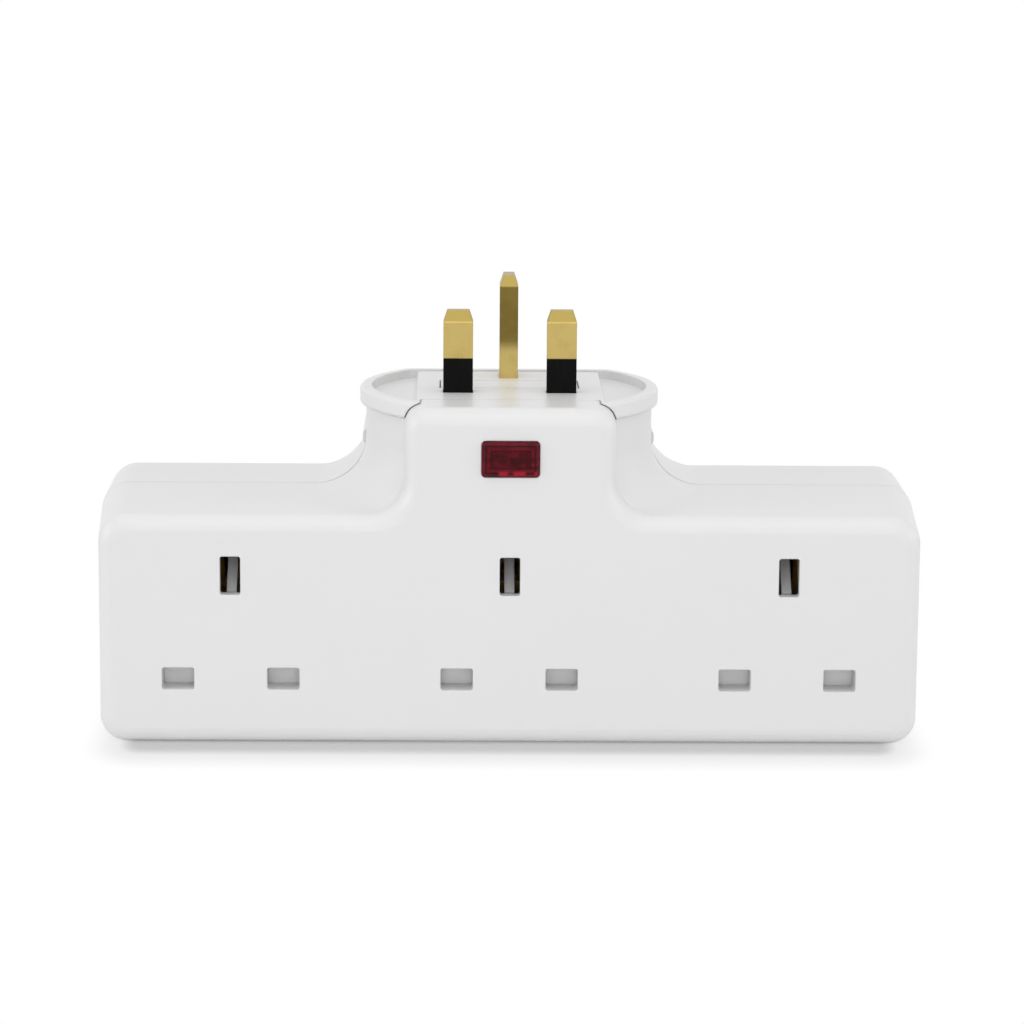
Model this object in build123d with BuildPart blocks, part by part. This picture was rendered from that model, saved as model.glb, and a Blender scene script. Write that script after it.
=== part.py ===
import os

from build123d import *

# Three-way T-bar mains adaptor. Sockets face -Y, the plug pins point up, +X is to the right.
# Depths are measured back from the flat front face, heights up from the flat underside.

# Mains plug and socket, to the British 13 A pattern
pin_pitch = 22.2
flat_pin_width = 6.35
flat_pin_thickness = 4.0
flat_pin_length = 17.7
earth_pin_width = 4.0
earth_pin_thickness = 8.0
earth_pin_length = 22.7
sleeve_length = 7.4
sleeve_skin = 0.7
pin_tip_height = 2.5
pin_tip_angle = 18
fuse_diameter = 6.35
fuse_length = 25.4

# Body outline
front_width = 172.8
socket_end = 27.6
bar_height = 49.2
body_depth = 66.4
seam_depth = 38.8
stem_width = 44.0
stem_rise = 22.8
side_flare = 2.8
stem_flare = 1.0
foot_radius = 5.5
wing_radius = 6.0
crook_radius = 7.5
stem_radius = 4.6
front_round = 3.5
back_round = 4.2

# Walls and fits
wall = 2.2
front_wall = 2.6
joint_gap = 0.15
running_gap = 0.3
rib = 1.2

# Plug tower
plug_radius = 32.35
plug_axis_depth = 34.0
live_pin_depth = 24.2
rim_height = 3.8
rim_wall = 2.6
rim_round = 0.8
tray_depth = 1.8
neck_inset = 1.35
neck_height = 7.0
neck_straight = 0.4
neck_sink = 0.05
collar_height = 3.4
collar_round = 1.2
collar_proud = 0.9
tower_corner = 3.0
tower_margin = 6.75
block_width = 40.0
block_round = 1.4
block_margin = 1.8
cover_depth = 13.0
face_plate = 5.0
skirt_height = 4.0
tower_screw_x = 20.5
tower_screw_margin = 11.15
tower_screw_length = 8.0

# Socket apertures, shutters and contacts
live_row_height = 14.2
live_slot_width = 6.8
live_slot_height = 4.7
earth_slot_width = 4.3
earth_slot_height = 8.2
slot_corner = 0.5
collar_wall = 1.2
shutter_depth = 6.3
shutter_thickness = 2.0
shutter_margin = 0.75
shutter_stem_width = 9.0
shutter_travel = 6.4
ramp_width = 2.1
ramp_lead = 0.5
ramp_crest = 1.2
spring_seat_rise = 1.5
spring_shelf_rise = 13.0
spring_shelf_thickness = 1.6
spring_diameter = 4.0
spring_wire = 0.5
spring_turns = 6
column_width = 6.8
column_height = 5.5
shelf_width = 5.2
contact_mouth_depth = 10.6
contact_back_depth = 20.4
contact_sheet = 0.8
contact_width = 6.0
contact_pinch = 0.25
contact_flare = 0.9
bar_strip_offset = 4.6
bar_strip_margin = 0.6
bar_end = 4.0
earth_strip_height = 4.4
earth_strip_gap = 1.2
earth_clip_reach = 3.6
earth_clip_spread = 6.0
contact_lead = 2.2
carrier_thickness = 2.0
carrier_margin = 0.5
peg_diameter = 2.4
peg_head_diameter = 4.0
peg_head_height = 0.8

# Fuse drawer
fuse_cap_length = 6.4
fuse_cap_skin = 0.35
fuse_tube_skin = 1.2
drawer_length = 29.6
drawer_width = 10.4
drawer_lid = 2.4
drawer_cradle_length = 11.2
drawer_cradle_wall = 1.3
drawer_cradle_drop = 1.4
drawer_slot_length = 5.0
drawer_slot_width = 1.2
pocket_wall = 1.7
pocket_floor = 1.7
pocket_ledge = 1.3
clip_width = 4.0
clip_sheet = 0.6
clip_tail = 3.0
clip_grip = 1.0
clip_base_drop = 2.4

# Straps between plug and contacts
strap_width = 5.0
strap_bend = 1.6
strap_lap = 2.0
line_link_ahead = 4.3

# Neon indicator
lens_width = 12.3
lens_height = 7.8
lens_drop = 10.5
lens_proud = 0.9
lens_bevel = 0.8
lens_corner = 0.9
lens_skin = 1.2
lens_flange = 1.1
lens_flange_thickness = 1.0
lamp_diameter = 6.0
lamp_length = 19.0
lamp_depth = 7.0
lamp_tip = 2.0
cradle_hold = 2.0
lead_diameter = 0.6
lead_spread = 4.2
resistor_diameter = 2.4
resistor_length = 6.5

# Screws
screw_shank = 3.0
screw_head = 5.6
screw_head_height = 2.2
screw_length = 18.0
boss_diameter = 7.0
case_screw_inset = 9.7
case_screw_low = 10.0
case_screw_drop = 9.5
case_boss_depth = 30.0
case_seat_depth = 41.6
carrier_screw_rise = 0.4
carrier_screw_length = 10.0
screw_slot = 0.9
screw_slot_length = 3.8
screw_clearance = 0.1
counterbore_wall = 1.6


def y_at(depth):
    # Y of a place that lies this far behind the front face, with the whole part centred on the origin
    return depth - (body_depth - lens_proud) / 2


def upright(depth):
    return Plane.XZ.offset(-y_at(depth))


def level(height):
    return Plane.XY.offset(height)


def sideways(x):
    return Plane.YZ.offset(x)


# Sizes that follow
socket_pitch = front_width / 2 - socket_end
face_height = bar_height + stem_rise
lens_centre_height = face_height - lens_drop
seam_width = front_width + 2 * side_flare
seam_stem_width = stem_width + 2 * stem_flare
collar_top = face_height - rim_height - neck_height
collar_bottom = collar_top - collar_height
neck_top = face_height - rim_height - joint_gap
neck_flare = collar_top - bar_height - neck_straight
foot_back = body_depth - back_round
neck_radius = plug_radius - neck_inset
seat_inset = neck_inset + wall + joint_gap
plug_axis = y_at(plug_axis_depth)
line_x = -pin_pitch / 2
neutral_x = pin_pitch / 2
earth_pin_depth = live_pin_depth + pin_pitch
tower_back = earth_pin_depth + earth_pin_thickness / 2 + tower_margin
earth_row_height = live_row_height + pin_pitch
socket_centres = (-socket_pitch, 0, socket_pitch)
line_slots = [(x + pin_pitch / 2, live_row_height) for x in socket_centres]
neutral_slots = [(x - pin_pitch / 2, live_row_height) for x in socket_centres]
earth_slots = [(x, earth_row_height) for x in socket_centres]
slot_tunnel = shutter_depth - running_gap
shutter_back = shutter_depth + shutter_thickness
cover_half_height = live_slot_height / 2 + shutter_margin
cover_width = pin_pitch + live_slot_width + 2 * shutter_margin
strip_front = contact_back_depth - contact_sheet / 2
carrier_front = contact_back_depth + contact_sheet / 2
carrier_back = carrier_front + carrier_thickness
plate_bottom = face_height - face_plate
notch_depth = cover_depth + joint_gap
fuse_depth = (live_pin_depth + earth_pin_depth - (earth_pin_thickness - flat_pin_thickness) / 2) / 2
fuse_height = face_height - drawer_lid - fuse_diameter / 2 - running_gap / 2
clip_base = fuse_height - fuse_diameter / 2 - clip_base_drop
line_link_depth = fuse_depth - line_link_ahead
pocket_length = drawer_length - 2 * pocket_ledge
pocket_width = drawer_width + 2 * running_gap
pocket_bottom = clip_base - clip_sheet - pocket_floor
tail_height = pocket_bottom - running_gap
fuse_clip_x = (fuse_length - fuse_cap_length) / 2
case_screw_x = seam_width / 2 - case_screw_inset
case_screw_rows = (case_screw_low, bar_height - case_screw_drop)
case_screws_at = [(x, z) for x in (-case_screw_x, case_screw_x) for z in case_screw_rows]
carrier_screw_height = earth_row_height + carrier_screw_rise
carrier_screws_at = [(-socket_pitch / 2, carrier_screw_height), (socket_pitch / 2, carrier_screw_height)]
bar_strip_height = live_row_height - bar_strip_offset - wall - bar_strip_margin
line_strip_height = live_row_height - bar_strip_offset - bar_strip_height / 2
neutral_strip_height = live_row_height + bar_strip_offset + bar_strip_height / 2
earth_strip_bottom = neutral_strip_height + bar_strip_height / 2 + earth_strip_gap
earth_strip_mid = earth_strip_bottom + earth_strip_height / 2
spring_seat_height = live_row_height + spring_seat_rise
spring_shelf_height = live_row_height + spring_shelf_rise
spring_depth = shutter_back + running_gap + (spring_diameter + spring_wire) / 2
ramp_foot = earth_row_height - earth_pin_thickness / 2 - running_gap
core_width = flat_pin_width - 2 * sleeve_skin
core_thickness = flat_pin_thickness - 2 * sleeve_skin
tube_diameter = fuse_diameter - 2 * fuse_cap_skin
pegs_at = [(x, z) for x in (-socket_pitch / 2, socket_pitch / 2)
           for z in (line_strip_height, neutral_strip_height, earth_strip_mid)]
tower_screws_at = [(-tower_screw_x, y_at(tower_back - tower_screw_margin)),
                   (tower_screw_x, y_at(tower_back - tower_screw_margin))]


def tee(width, stem, inset):
    # The T outline of the body, drawn in the open sketch and pulled in or let out evenly
    with Locations((0, bar_height / 2)):
        Rectangle(width, bar_height)
    with Locations((0, face_height / 2)):
        Rectangle(stem, face_height)
    fillet(vertices().group_by(Axis.Y)[-1], radius=stem_radius)
    level = (bar_height - joint_gap, bar_height + joint_gap)
    top = vertices().filter_by_position(Axis.Y, *level).sort_by(Axis.X)
    fillet(top[1:3], radius=crook_radius)
    top = vertices().filter_by_position(Axis.Y, *level).sort_by(Axis.X)
    fillet([top[0], top[-1]], radius=wing_radius)
    fillet(vertices().group_by(Axis.Y)[0], radius=foot_radius)
    if inset:
        offset(amount=-inset, mode=Mode.REPLACE)


def bar_end_on(inset):
    # The bar alone at the seam, pulled in by an even wall
    with Locations((0, bar_height / 2)):
        Rectangle(seam_width, bar_height)
    fillet(vertices().group_by(Axis.Y)[-1], radius=wing_radius)
    fillet(vertices().group_by(Axis.Y)[0], radius=foot_radius)
    if inset:
        offset(amount=-inset, mode=Mode.REPLACE)


def tower_plan(inset):
    # The round tower seen from above, with its flat back
    with Locations((0, plug_axis)):
        Circle(plug_radius - inset)
    with Locations((0, y_at(tower_back) - inset - body_depth)):
        Rectangle(2 * plug_radius, 2 * body_depth, mode=Mode.INTERSECT)
    fillet(vertices(), radius=tower_corner)


# Round neck under the plug face, flared where it stands on the bar
with BuildPart() as neck:
    with BuildSketch(Plane.XZ.offset(-plug_axis)):
        with Locations(((neck_radius + neck_flare + wall) / 2, bar_height - neck_sink - wall / 2)):
            Rectangle(neck_radius + neck_flare + wall, wall)
        with Locations((neck_radius / 2, (bar_height - neck_sink - wall + neck_top) / 2)):
            Rectangle(neck_radius, neck_top - bar_height + neck_sink + wall)
        fillet(vertices().sort_by_distance((neck_radius, bar_height - neck_sink))[0], radius=neck_flare)
    revolve(axis=Axis((0, plug_axis, 0), (0, 0, 1)))

with BuildPart() as front_neck:
    add(neck.part)
    split(bisect_by=upright(seam_depth), keep=Keep.TOP)
    split(bisect_by=upright(front_round), keep=Keep.BOTTOM)

with BuildPart() as rear_neck:
    add(neck.part)
    split(bisect_by=upright(seam_depth + joint_gap), keep=Keep.BOTTOM)
    split(bisect_by=upright(tower_back - neck_inset), keep=Keep.TOP)

# Front half of the case, open to the rear
with BuildPart() as front_shell:
    with BuildSketch(upright(0)):
        tee(front_width, stem_width, 0)
    with BuildSketch(upright(seam_depth)):
        tee(seam_width, seam_stem_width, 0)
    loft(ruled=True)
    fillet(front_shell.faces().sort_by(Axis.Y)[0].edges(), radius=front_round)
    add(front_neck.part)
    with BuildSketch(upright(front_wall)):
        tee(front_width, stem_width, wall)
    with BuildSketch(upright(seam_depth)):
        tee(seam_width, seam_stem_width, wall)
    loft(ruled=True, mode=Mode.SUBTRACT)
    with BuildSketch(level(bar_height - 2 * wall)):
        tower_plan(neck_inset + wall)
    extrude(amount=neck_top - bar_height + 2 * wall, mode=Mode.SUBTRACT)
    # The stem stands in front of the plug face only as far as the cover
    with BuildSketch(level(neck_top)):
        with Locations((0, y_at((cover_depth + body_depth) / 2))):
            Rectangle(2 * seam_stem_width, body_depth - cover_depth)
    extrude(amount=face_height, mode=Mode.SUBTRACT)
    # Tunnels that guide the line and neutral pins to the shutter
    with BuildSketch(upright(slot_tunnel)):
        with Locations(*line_slots, *neutral_slots):
            Rectangle(live_slot_width + 2 * collar_wall, live_slot_height + 2 * collar_wall)
    extrude(amount=slot_tunnel - front_wall / 2)
    # Ribs beside each shutter's cover and stem
    with BuildSketch(upright(shutter_back + running_gap)):
        for x in socket_centres:
            for side in (-1, 1):
                cover_rib = cover_width / 2 + running_gap + rib / 2
                stem_rib = shutter_stem_width / 2 + running_gap + rib / 2
                with Locations((x + side * cover_rib, live_row_height / 2 + wall)):
                    Rectangle(rib, live_row_height + wall)
                with Locations((x + side * stem_rib, (spring_seat_height + spring_shelf_height) / 2 + rib)):
                    Rectangle(rib, (spring_shelf_height - spring_seat_height) / 2)
    extrude(amount=shutter_back + running_gap - front_wall / 2)
    # Cradle for the neon lamp
    with BuildSketch(upright(lamp_depth + cradle_hold)):
        for side in (-1, 1):
            with Locations((side * (lamp_length / 2 - rib), lens_centre_height)):
                Rectangle(rib, lamp_diameter + 2 * rib)
    extrude(amount=lamp_depth + cradle_hold - front_wall / 2)
    with BuildSketch(sideways(0)):
        with Locations((y_at(lamp_depth), lens_centre_height)):
            Circle(lamp_diameter / 2)
        with Locations((y_at(lamp_depth + lamp_diameter / 2), lens_centre_height)):
            Rectangle(lamp_diameter, lamp_diameter)
    extrude(amount=lamp_length / 2, both=True, mode=Mode.SUBTRACT)
    # Screw pillars
    with BuildSketch(upright(case_boss_depth)):
        with Locations(*case_screws_at):
            Circle(boss_diameter / 2)
    extrude(amount=case_boss_depth - front_wall / 2)
    with BuildSketch(upright(carrier_front)):
        with Locations(*carrier_screws_at):
            Circle(boss_diameter / 2)
    extrude(amount=carrier_front - front_wall / 2)
    with BuildSketch(upright(case_boss_depth)):
        with Locations(*case_screws_at):
            Circle(screw_shank / 2 + screw_clearance)
    extrude(amount=case_boss_depth - case_seat_depth + screw_length + screw_clearance, mode=Mode.SUBTRACT)
    with BuildSketch(upright(carrier_front)):
        with Locations(*carrier_screws_at):
            Circle(screw_shank / 2 + screw_clearance)
    extrude(amount=carrier_screw_length - carrier_thickness + screw_clearance, mode=Mode.SUBTRACT)
    # Apertures in the face
    with BuildSketch(upright(0)):
        with Locations(*line_slots, *neutral_slots):
            RectangleRounded(live_slot_width, live_slot_height, slot_corner)
        with Locations(*earth_slots):
            RectangleRounded(earth_slot_width, earth_slot_height, slot_corner)
    extrude(amount=-slot_tunnel - wall, mode=Mode.SUBTRACT)
    with BuildSketch(upright(0)):
        with Locations((0, lens_centre_height)):
            RectangleRounded(lens_width, lens_height, lens_corner)
    extrude(amount=-front_wall - joint_gap, mode=Mode.SUBTRACT)
front_shell.part.label = "front_shell"


# Foot of the tower on the rear half, flared where it stands on the bar
with BuildPart() as tower_foot:
    with BuildSketch(upright(foot_back)):
        with Locations((0, bar_height - neck_sink - wall / 2)):
            Rectangle(2 * (neck_radius + neck_flare + wall), wall)
        with Locations((0, (bar_height - neck_sink - wall + collar_top) / 2)):
            Rectangle(2 * neck_radius, collar_top - bar_height + neck_sink + wall)
        for side in (-1, 1):
            corner = vertices().sort_by_distance((side * neck_radius, bar_height - neck_sink))[0]
            fillet(corner, radius=neck_flare)
    extrude(amount=foot_back - seam_depth - joint_gap)

# Shelf on the foot, with a rounded lip, that the tower is screwed to
with BuildPart() as collar:
    with BuildSketch(upright(foot_back)):
        with Locations((0, (collar_bottom + collar_top) / 2)):
            RectangleRounded(2 * (neck_radius + collar_proud), collar_height, collar_round)
    extrude(amount=foot_back - seam_depth - joint_gap)

# Rear half of the case with the back of the neck
with BuildPart() as rear_shell:
    with BuildSketch(upright(body_depth)):
        bar_end_on(0)
    extrude(amount=body_depth - seam_depth - joint_gap)
    fillet(rear_shell.faces().sort_by(Axis.Y)[-1].edges(), radius=back_round)
    add(rear_neck.part)
    add(tower_foot.part)
    # Inside of the bar, of the foot and of the neck
    with BuildSketch(upright(body_depth - wall)):
        bar_end_on(wall)
    extrude(amount=body_depth - wall - seam_depth, mode=Mode.SUBTRACT)
    with BuildSketch(upright(foot_back - wall)):
        with Locations((0, (bar_height - 2 * wall + collar_bottom) / 2)):
            Rectangle(2 * (neck_radius - wall), collar_bottom - bar_height + 2 * wall)
    extrude(amount=foot_back - wall - seam_depth, mode=Mode.SUBTRACT)
    with BuildSketch(level(bar_height - 2 * wall)):
        tower_plan(neck_inset + wall)
    extrude(amount=neck_top - bar_height + 2 * wall, mode=Mode.SUBTRACT)
    add(collar.part)
    # Opening in the collar for the fuse pocket and the pin tails
    with BuildSketch(level(collar_bottom - wall)):
        with Locations((0, y_at((live_pin_depth + earth_pin_depth) / 2 + pocket_wall))):
            Rectangle(pocket_length + 2 * pocket_wall + 2 * running_gap, pin_pitch + earth_pin_thickness)
    extrude(amount=collar_height + 2 * wall, mode=Mode.SUBTRACT)
    with BuildSketch(level(collar_bottom - wall)):
        with Locations(*tower_screws_at):
            Circle(screw_shank / 2 + screw_clearance)
    extrude(amount=collar_height + 2 * wall, mode=Mode.SUBTRACT)
    # Sunk screw tubes
    with BuildSketch(upright(body_depth - wall / 2)):
        with Locations(*case_screws_at):
            Circle(screw_head / 2 + counterbore_wall)
    extrude(amount=body_depth - wall / 2 - case_boss_depth - joint_gap)
    with BuildSketch(upright(body_depth)):
        with Locations(*case_screws_at):
            Circle(screw_shank / 2 + screw_clearance)
    extrude(amount=body_depth, mode=Mode.SUBTRACT)
    with BuildSketch(upright(body_depth)):
        with Locations(*case_screws_at):
            Circle(screw_head / 2 + running_gap)
    extrude(amount=body_depth - case_seat_depth, mode=Mode.SUBTRACT)
rear_shell.part.label = "rear_shell"

# Rim round the plug face
with BuildPart() as rim:
    with BuildSketch(level(face_height - rim_height)):
        tower_plan(0)
    extrude(amount=rim_height)
    fillet(rim.edges() - rim.edges().filter_by(Axis.Z), radius=rim_round)

# Tower moulding that holds the pins and the fuse
with BuildPart() as plug_base:
    with BuildSketch(level(plate_bottom - skirt_height)):
        tower_plan(seat_inset)
    extrude(amount=skirt_height + face_plate - rim_height / 2)
    add(rim.part)
    # Trays beside and behind the pin block
    with BuildSketch(level(face_height)):
        tower_plan(rim_wall)
        with Locations((0, y_at((earth_pin_depth + earth_pin_thickness / 2 + block_margin) / 2))):
            RectangleRounded(block_width, earth_pin_depth + earth_pin_thickness / 2 + block_margin,
                             block_round, mode=Mode.SUBTRACT)
    extrude(amount=-tray_depth, mode=Mode.SUBTRACT)
    # Notch that fits round the stem of the front shell, and the hollow inside the skirt
    with BuildSketch(upright(notch_depth)):
        tee(front_width, stem_width + 2 * stem_flare * notch_depth / seam_depth, -joint_gap)
    extrude(amount=notch_depth + plug_radius, mode=Mode.SUBTRACT)
    with BuildSketch(level(plate_bottom - skirt_height)):
        tower_plan(seat_inset + rib)
        with Locations((0, y_at(live_pin_depth / 2))):
            Rectangle(2 * plug_radius, live_pin_depth)
    extrude(amount=skirt_height, mode=Mode.SUBTRACT)
    with BuildSketch(level(collar_top)):
        with Locations(*tower_screws_at):
            Circle(boss_diameter / 2)
    extrude(amount=plate_bottom - collar_top + rib)
    with BuildSketch(level(collar_top)):
        with Locations(*tower_screws_at):
            Circle(screw_shank / 2 + screw_clearance)
    extrude(amount=plate_bottom - collar_top, mode=Mode.SUBTRACT)
    # Fuse pocket
    with BuildSketch(level(pocket_bottom)):
        with Locations((0, y_at(fuse_depth))):
            Rectangle(pocket_length + 2 * pocket_wall, pocket_width + 2 * pocket_wall)
    extrude(amount=plate_bottom - pocket_bottom + rib)
    with BuildSketch(level(clip_base - clip_sheet)):
        with Locations((0, y_at(fuse_depth))):
            Rectangle(pocket_length, pocket_width)
    extrude(amount=face_height, mode=Mode.SUBTRACT)
    with BuildSketch(level(face_height - drawer_lid - running_gap)):
        with Locations((0, y_at(fuse_depth))):
            Rectangle(drawer_length + 2 * running_gap, pocket_width)
    extrude(amount=face_height, mode=Mode.SUBTRACT)
    with BuildSketch(level(pocket_bottom)):
        with Locations((-fuse_clip_x, y_at(fuse_depth)), (fuse_clip_x, y_at(fuse_depth))):
            Rectangle(clip_tail, clip_sheet)
    extrude(amount=pocket_floor, mode=Mode.SUBTRACT)
    # Pin slots
    with BuildSketch(level(pocket_bottom)):
        with Locations((line_x, y_at(live_pin_depth)), (neutral_x, y_at(live_pin_depth))):
            Rectangle(flat_pin_width, flat_pin_thickness)
        with Locations((0, y_at(earth_pin_depth))):
            Rectangle(earth_pin_width, earth_pin_thickness)
    extrude(amount=face_height, mode=Mode.SUBTRACT)
plug_base.part.label = "plug_base"

pieces = [front_shell.part, rear_shell.part, plug_base.part]

# Line and neutral pins with their insulating sleeves
for name, x in (("line_pin", line_x), ("neutral_pin", neutral_x)):
    with BuildPart() as flat_pin:
        with BuildSketch(level(tail_height)):
            with Locations((x, y_at(live_pin_depth))):
                Rectangle(core_width, core_thickness)
        extrude(amount=face_height + sleeve_length - tail_height)
        with BuildSketch(level(face_height + sleeve_length)):
            with Locations((x, y_at(live_pin_depth))):
                Rectangle(flat_pin_width, flat_pin_thickness)
        extrude(amount=flat_pin_length - sleeve_length - pin_tip_height)
        with BuildSketch(level(face_height + flat_pin_length - pin_tip_height)):
            with Locations((x, y_at(live_pin_depth))):
                Rectangle(flat_pin_width, flat_pin_thickness)
        extrude(amount=pin_tip_height, taper=pin_tip_angle)
    flat_pin.part.label = name
    pieces.append(flat_pin.part)
    with BuildPart() as sleeve:
        with BuildSketch(level(plate_bottom)):
            with Locations((x, y_at(live_pin_depth))):
                Rectangle(flat_pin_width, flat_pin_thickness)
                Rectangle(core_width, core_thickness, mode=Mode.SUBTRACT)
        extrude(amount=face_plate + sleeve_length)
    sleeve.part.label = name + "_sleeve"
    pieces.append(sleeve.part)

# Earth pin
with BuildPart() as earth_pin:
    with BuildSketch(level(tail_height)):
        with Locations((0, y_at(earth_pin_depth))):
            Rectangle(earth_pin_width, earth_pin_thickness)
    extrude(amount=face_height + earth_pin_length - pin_tip_height - tail_height)
    with BuildSketch(level(face_height + earth_pin_length - pin_tip_height)):
        with Locations((0, y_at(earth_pin_depth))):
            Rectangle(earth_pin_width, earth_pin_thickness)
    extrude(amount=pin_tip_height, taper=pin_tip_angle)
earth_pin.part.label = "earth_pin"

# Fuse drawer that lifts out of the plug face
with BuildPart() as fuse_carrier:
    with BuildSketch(level(face_height - drawer_lid)):
        with Locations((0, y_at(fuse_depth))):
            Rectangle(drawer_length, drawer_width)
    extrude(amount=drawer_lid)
    with BuildSketch(level(fuse_height - drawer_cradle_drop)):
        with Locations((0, y_at(fuse_depth))):
            Rectangle(drawer_cradle_length, tube_diameter + 2 * drawer_cradle_wall)
    extrude(amount=face_height - drawer_lid - fuse_height + drawer_cradle_drop)
    with BuildSketch(sideways(0)):
        with Locations((y_at(fuse_depth), fuse_height)):
            Circle(tube_diameter / 2)
    extrude(amount=drawer_cradle_length / 2, both=True, mode=Mode.SUBTRACT)
    with BuildSketch(level(face_height)):
        with Locations((drawer_length / 2 - drawer_slot_length / 2 - rib, y_at(fuse_depth))):
            Rectangle(drawer_slot_length, drawer_slot_width)
    extrude(amount=-drawer_lid / 2, mode=Mode.SUBTRACT)
fuse_carrier.part.label = "fuse_carrier"

# Fuse
with BuildPart() as fuse_tube:
    with BuildSketch(sideways(-fuse_length / 2 + fuse_cap_skin)):
        with Locations((y_at(fuse_depth), fuse_height)):
            Circle(tube_diameter / 2)
            Circle(tube_diameter / 2 - fuse_tube_skin, mode=Mode.SUBTRACT)
    extrude(amount=fuse_length - 2 * fuse_cap_skin)
fuse_tube.part.label = "fuse_tube"

with BuildPart() as fuse_caps:
    for start in (-fuse_length / 2, fuse_length / 2 - fuse_cap_length):
        with BuildSketch(sideways(start)):
            with Locations((y_at(fuse_depth), fuse_height)):
                Circle(fuse_diameter / 2)
        extrude(amount=fuse_cap_length)
    with BuildSketch(sideways(0)):
        with Locations((y_at(fuse_depth), fuse_height)):
            Circle(tube_diameter / 2)
    extrude(amount=fuse_length / 2 - fuse_cap_skin, both=True, mode=Mode.SUBTRACT)
fuse_caps.part.label = "fuse_caps"

with BuildPart() as fuse_clips:
    clip_top = fuse_height + clip_grip
    clip_span = fuse_diameter + 2 * running_gap
    for x in (-fuse_clip_x, fuse_clip_x):
        with BuildSketch(sideways(x - clip_width / 2)):
            with Locations((y_at(fuse_depth), (clip_base - clip_sheet + clip_top) / 2)):
                Rectangle(clip_span + 2 * clip_sheet, clip_top - clip_base + clip_sheet)
            with Locations((y_at(fuse_depth), (clip_base + clip_top) / 2)):
                Rectangle(clip_span, clip_top - clip_base, mode=Mode.SUBTRACT)
        extrude(amount=clip_width)
        with BuildSketch(level(tail_height)):
            with Locations((x, y_at(fuse_depth))):
                Rectangle(clip_tail, clip_sheet)
        extrude(amount=clip_base - tail_height)
fuse_clips.part.label = "fuse_clips"

# Strap from the line pin to the fuse
with BuildPart() as line_strap:
    with BuildSketch(level(tail_height - contact_sheet)):
        with Locations(((line_x - fuse_clip_x) / 2, y_at((live_pin_depth + fuse_depth) / 2))):
            Rectangle(strap_width + neutral_x - fuse_clip_x, fuse_depth - live_pin_depth + 2 * strap_lap)
    extrude(amount=contact_sheet)
line_strap.part.label = "line_strap"

# Folded links from the fuse and the pins down to the contact bars
with BuildPart() as line_link:
    with BuildSketch(sideways(fuse_clip_x - strap_width / 2)):
        with BuildLine():
            FilletPolyline((y_at(fuse_depth + strap_lap), tail_height - contact_sheet / 2),
                           (y_at(line_link_depth), tail_height - contact_sheet / 2),
                           (y_at(line_link_depth), line_strip_height),
                           (y_at(carrier_front), line_strip_height), radius=strap_bend)
        trace(line_width=contact_sheet)
    extrude(amount=strap_width)
line_link.part.label = "line_link"

with BuildPart() as neutral_link:
    with BuildSketch(sideways(neutral_x - strap_width / 2)):
        with BuildLine():
            FilletPolyline((y_at(live_pin_depth), tail_height), (y_at(live_pin_depth), neutral_strip_height),
                           (y_at(carrier_front), neutral_strip_height), radius=strap_bend)
        trace(line_width=contact_sheet)
    extrude(amount=strap_width)
neutral_link.part.label = "neutral_link"

with BuildPart() as earth_link:
    with BuildSketch(sideways(-strap_width / 2)):
        with BuildLine():
            FilletPolyline((y_at(earth_pin_depth), tail_height), (y_at(earth_pin_depth), earth_strip_mid),
                           (y_at(carrier_front), earth_strip_mid), radius=strap_bend)
        trace(line_width=contact_sheet)
    extrude(amount=strap_width)
earth_link.part.label = "earth_link"

# Line and neutral contact bars: a strip with one sprung clip for each socket
grip = flat_pin_thickness / 2 - contact_pinch + contact_sheet / 2
mouth = y_at(contact_mouth_depth)
throat = y_at(contact_mouth_depth + contact_lead)
heel = y_at(contact_back_depth)
for name, slots, strip_height in (("line_bar", line_slots, line_strip_height),
                                  ("neutral_bar", neutral_slots, neutral_strip_height)):
    with BuildPart() as contact_bar:
        with BuildSketch(upright(carrier_front)):
            with Locations((slots[1][0], strip_height)):
                Rectangle(2 * socket_pitch + contact_width + bar_end, bar_strip_height)
            for x, z in slots:
                with Locations((x, (z + strip_height) / 2)):
                    Rectangle(contact_width / 2, abs(strip_height - z))
            with Locations(*[(x, z) for x, z in pegs_at if z == strip_height]):
                Circle(peg_diameter / 2, mode=Mode.SUBTRACT)
        extrude(amount=contact_sheet)
        for x, z in slots:
            with BuildSketch(sideways(x - contact_width / 2)):
                with BuildLine():
                    FilletPolyline((mouth, z + grip + contact_flare), (throat, z + grip),
                                   (heel, z + grip + contact_flare), (heel, z - grip - contact_flare),
                                   (throat, z - grip), (mouth, z - grip - contact_flare),
                                   radius=contact_sheet)
                trace(line_width=contact_sheet)
            extrude(amount=contact_width)
    contact_bar.part.label = name
    pieces.append(contact_bar.part)

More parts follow.
